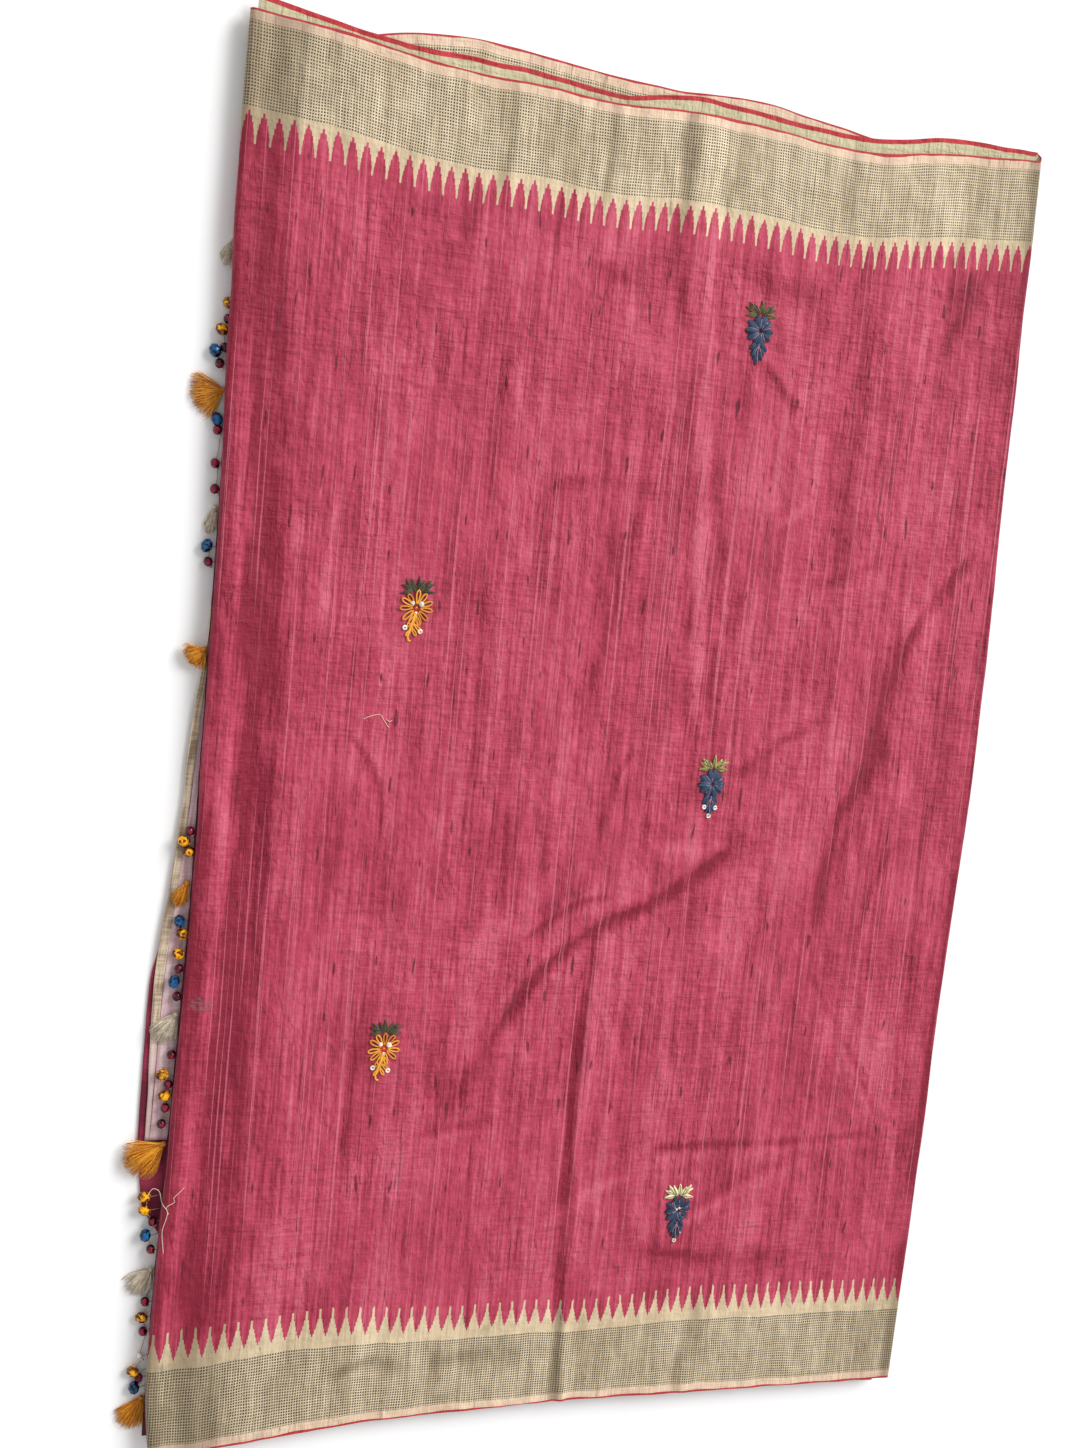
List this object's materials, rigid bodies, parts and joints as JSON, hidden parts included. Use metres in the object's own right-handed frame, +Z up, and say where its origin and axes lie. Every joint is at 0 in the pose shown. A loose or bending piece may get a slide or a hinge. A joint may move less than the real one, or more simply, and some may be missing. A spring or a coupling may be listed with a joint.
{
  "type": "folded sari",
  "caption": "Folded silk sari lying flat: rose field with floral sprigs, cream dotted temple borders, layered selvedges, and a pallu edge with tassels and glass beads along the left fold.",
  "frame": {"origin": "on the resting surface, under the middle of the folded panel", "axes": "+Z up from the surface, +Y from the lower selvedge to the upper one, +X from the pallu side fold to the plain fold"},
  "size_m": [0.7364, 1.1316, 0.0186],
  "materials": {
    "silk_field": "raw slub silk, deep rose pink, with cream dotted borders and red selvedges",
    "silk_reverse": "reverse of the woven border, plain greenish cream with a red selvedge",
    "silk_border": "face of the woven border, cream with dark dots and a red selvedge",
    "silk_core": "edges of the hidden layers, rose pink with border edges",
    "silk_hem": "golden beige hem with a soft silk sheen",
    "silk_pale": "pale mauve silk with fine slubs",
    "silk_deep": "dark crimson silk fold",
    "thread_mustard": "untwisted mustard silk thread",
    "thread_grey": "untwisted grey beige silk thread",
    "bead_glass": "glossy glass beads, maroon, amber and blue",
    "embroidery_gold": "stranded cotton embroidery in gold and olive",
    "embroidery_blue": "stranded cotton embroidery in blue, olive and cream"
  },
  "bodies": {
    "root": {"core_layers": "silk_core", "front_panel": "silk_field", "second_layer": "silk_reverse", "third_layer": "silk_border", "second_layer_foot": "silk_reverse", "deep_pink_fold": "silk_deep", "pale_layer": "silk_pale", "golden_hem": "silk_hem", "pallu_edge": "silk_deep", "tassel_01": "thread_grey", "tassel_02": "thread_mustard", "tassel_03": "thread_grey", "tassel_04": "thread_mustard", "tassel_05": "thread_mustard", "tassel_06": "thread_grey", "tassel_07": "thread_mustard", "tassel_08": "thread_grey", "tassel_09": "thread_mustard", "bead_string_1": "bead_glass", "bead_string_2": "bead_glass", "bead_string_3": "bead_glass", "bead_string_4": "bead_glass", "bead_string_5": "bead_glass", "bead_string_6": "bead_glass", "bead_string_7": "bead_glass", "bead_string_8": "bead_glass", "sprig_1": "embroidery_gold", "sprig_2": "embroidery_gold", "sprig_3": "embroidery_blue", "sprig_4": "embroidery_blue", "sprig_5": "embroidery_blue"}
  },
  "joints": []
}
